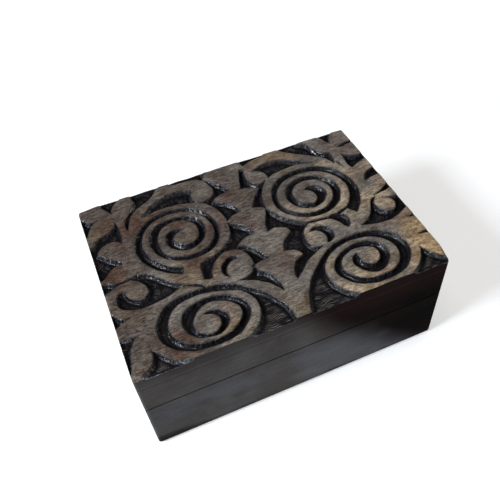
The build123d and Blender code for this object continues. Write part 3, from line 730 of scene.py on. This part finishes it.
# ---- felt linings -----------------------------------------------------------
def felt_lining(node, body, name, show_up, cloth):
    """A felt cut by hand and glued down: slightly wavy edges and an uneven nap side."""
    low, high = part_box(node)
    count_x = round((high.x - low.x) / FELT_STEP)
    count_y = round((high.y - low.y) / FELT_STEP)
    xs = np.linspace(low.x, high.x, count_x + 1)
    ys = np.linspace(low.y, high.y, count_y + 1)
    x, y = np.meshgrid(xs, ys, indexing="ij")
    from_end, from_side = high.x - np.abs(x), high.y - np.abs(y)
    reach = np.maximum(np.minimum(from_end, from_side) / MM, 0)
    rounded = FELT_ROUND * np.exp(-reach / FELT_ROUND_REACH)
    nap = 0.10 * (1 + plan_noise(x / MM, y / MM, 9, 41))
    nap = nap + 0.05 * (1 + plan_noise(x / MM, y / MM, 3, 42))
    pull = FELT_PULL * (1 + plan_noise(x / MM, y / MM, 6, 43)) * np.exp(-reach / FELT_PULL_REACH)
    cut_x = x - np.sign(x) * pull * MM * (from_end < FELT_CUT_BAND)
    cut_y = y - np.sign(y) * pull * MM * (from_side < FELT_CUT_BAND)
    loose = high.z - low.z - (rounded + nap) * MM
    shown = low.z + loose if show_up else high.z - loose
    glued = low.z if show_up else high.z
    face = np.stack([cut_x, cut_y, shown], -1).reshape(-1, 3)
    back = np.stack([cut_x, cut_y, np.full_like(x, glued)], -1).reshape(-1, 3)
    index = np.arange(x.size).reshape(x.shape)
    quads = grid_faces(index)
    ring = grid_rim(index)
    faces = np.concatenate([quads, quads[:, ::-1] + x.size, band(ring, ring + x.size)])
    if not show_up:
        faces = faces[:, ::-1]
    mesh = bpy.data.meshes.new(name)
    mesh.from_pydata(np.concatenate([face, back]).tolist(), [], faces.tolist())
    mesh.polygons.foreach_set("use_smooth", np.arange(len(faces)) < 2 * len(quads))
    mesh.materials.append(cloth)
    piece = add_object(name, mesh)
    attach(piece, body)
    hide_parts(node)
    return piece, (high.x - low.x, high.y - low.y)


# ---- CAD pieces that keep their shape ---------------------------------------
def dress(node, material, ease):
    """Gives a CAD node its finish and eases its sharp edges."""
    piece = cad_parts[node]
    piece.data.materials.clear()
    piece.data.materials.append(material)
    weld = piece.modifiers.new("weld", "WELD")
    weld.merge_threshold = WELD_REACH
    bevel = piece.modifiers.new("ease", "BEVEL")
    bevel.width = ease
    bevel.segments = 2
    bevel.limit_method = "ANGLE"
    bevel.angle_limit = math.radians(35)
    bevel.use_clamp_overlap = True
    bevel.harden_normals = True


def dress_frame():
    """Gives the walls, rails, floor, pins, hinges and screws their finishes."""
    along_x, along_y = dark_wood("dark_wood_x", 0), dark_wood("dark_wood_y", 1)
    woods = {"front": along_x, "back": along_x, "left": along_y, "right": along_y}
    for side, wood in woods.items():
        dress(f"base_{side}_wall", wood, WALL_EASE)
        dress(f"lid_{side}_rail", wood, RAIL_EASE)
    dress("base_floor", floor_wood(), FLOOR_EASE)
    dress("floor_pins", steel(), METAL_EASE)
    leaf_brass = brass("hinge_brass", (172, 134, 76), (122, 92, 50))
    screw_brass = brass("screw_brass", (226, 196, 138), (186, 154, 102))
    for side in ("left", "right"):
        for part in ("base_leaf", "lid_leaf", "pin"):
            dress(f"{side}_hinge_{part}", leaf_brass, METAL_EASE)
    dress("hinge_base_screws", screw_brass, SCREW_EASE)
    dress("hinge_lid_screws", screw_brass, SCREW_EASE)


# ---- camera, floor and light ------------------------------------------------
def make_camera():
    """The camera of the photograph: it looks down from the front left, rolled a little."""
    azimuth, elevation = math.radians(CAMERA_AZIMUTH), math.radians(CAMERA_ELEVATION)
    forward = Vector((
        math.sin(azimuth) * math.cos(elevation),
        math.cos(azimuth) * math.cos(elevation),
        -math.sin(elevation),
    ))
    level = forward.cross(Vector((0, 0, 1))).normalized()
    down = forward.cross(level)
    roll = math.radians(CAMERA_ROLL)
    right = level * math.cos(roll) - down * math.sin(roll)
    up = -(level * math.sin(roll) + down * math.cos(roll))
    data = bpy.data.cameras.new("camera")
    data.sensor_width = CAMERA_SENSOR
    data.lens = CAMERA_LENS
    data.shift_x, data.shift_y = CAMERA_SHIFT
    data.clip_start = 0.01
    camera = add_object("camera", data)
    turn = Matrix((right, up, -forward)).transposed()
    camera.matrix_world = Matrix.Translation(CAMERA_PLACE) @ turn.to_4x4()
    bpy.context.scene.camera = camera


def seen_directly(tree):
    """1 for rays from the camera and for what gloss and glass mirror, otherwise 0."""
    path = tree.nodes.new("ShaderNodeLightPath")
    total = path.outputs["Is Camera Ray"]
    for name in ("Is Glossy Ray", "Is Transmission Ray"):
        add = tree.nodes.new("ShaderNodeMath")
        add.operation = "MAXIMUM"
        tree.links.new(total, add.inputs[0])
        tree.links.new(path.outputs[name], add.inputs[1])
        total = add.outputs[0]
    return total


def make_floor():
    """A large pale floor, which runs on past the view and keeps the shadow."""
    mesh = bpy.data.meshes.new("studio_floor")
    signs = ((-1, -1), (1, -1), (1, 1), (-1, 1))
    corners = [(a * STUDIO_HALF, b * STUDIO_HALF, 0) for a, b in signs]
    mesh.from_pydata(corners, [], [(0, 1, 2, 3)])
    g = Graph("studio_floor")
    mottle = g.noise(g.coords, 4.0, 2.0, 0.5)
    colour = g.mix(mottle, srgb(196, 196, 196), srgb(204, 204, 204))
    away = g.add("ShaderNodeVectorMath", {"operation": "LENGTH"})
    g.put(away.inputs[0], g.coords)
    lift = g.between(away.outputs["Value"], 0.35, 1.6, FLOOR_LIFT, FAR_FLOOR_LIFT)
    lift = g.math("MULTIPLY", lift, seen_directly(g.tree))
    mesh.materials.append(g.finish(
        Base_Color=colour, Roughness=0.9, Emission_Color=(1, 1, 1, 1), Emission_Strength=lift,
    ))
    add_object("studio_floor", mesh)


def area_light(name, place, target, size, power, colour):
    data = bpy.data.lights.new(name, "AREA")
    data.shape = "RECTANGLE"
    data.size, data.size_y = size
    data.energy = power
    data.color = colour
    lamp = add_object(name, data)
    lamp.location = place
    lamp.rotation_mode = "QUATERNION"
    lamp.rotation_quaternion = (Vector(target) - Vector(place)).to_track_quat("-Z", "Y")


def make_light():
    """Four soft lamps, and a world that is dim but looks white from the side."""
    world = bpy.data.worlds.new("studio")
    bpy.context.scene.world = world
    world.use_nodes = True
    nodes, links = world.node_tree.nodes, world.node_tree.links
    background = nodes["Background"]
    direction = nodes.new("ShaderNodeTexCoord")
    split = nodes.new("ShaderNodeSeparateXYZ")
    links.new(direction.outputs["Generated"], split.inputs[0])
    backdrop = nodes.new("ShaderNodeMapRange")
    links.new(split.outputs["Z"], backdrop.inputs["Value"])
    low, high = BACKDROP_RISE
    ends = {"From Min": low, "From Max": high, "To Min": 1.0, "To Max": CEILING_LIGHT}
    for key, number in ends.items():
        backdrop.inputs[key].default_value = number
    strength = nodes.new("ShaderNodeMix")
    links.new(seen_directly(world.node_tree), strength.inputs["Factor"])
    strength.inputs["A"].default_value = WORLD_LIGHT
    links.new(backdrop.outputs["Result"], strength.inputs["B"])
    links.new(strength.outputs["Result"], background.inputs["Strength"])
    background.inputs["Color"].default_value = (1, 1, 1, 1)
    for name, place, aim_z, size, power, colour in LIGHTS:
        area_light(name, place, (0, 0, aim_z), size, power, colour)


bpy.context.scene.view_settings.view_transform = "Standard"
make_camera()
make_floor()
make_light()
dress_frame()
carved_panel()
cloth = felt_cloth()
base_lining, base_size = felt_lining("base_felt", "base", "base_lining", True, cloth)
lid_lining, lid_size = felt_lining("lid_felt", "lid", "lid_lining", False, cloth)
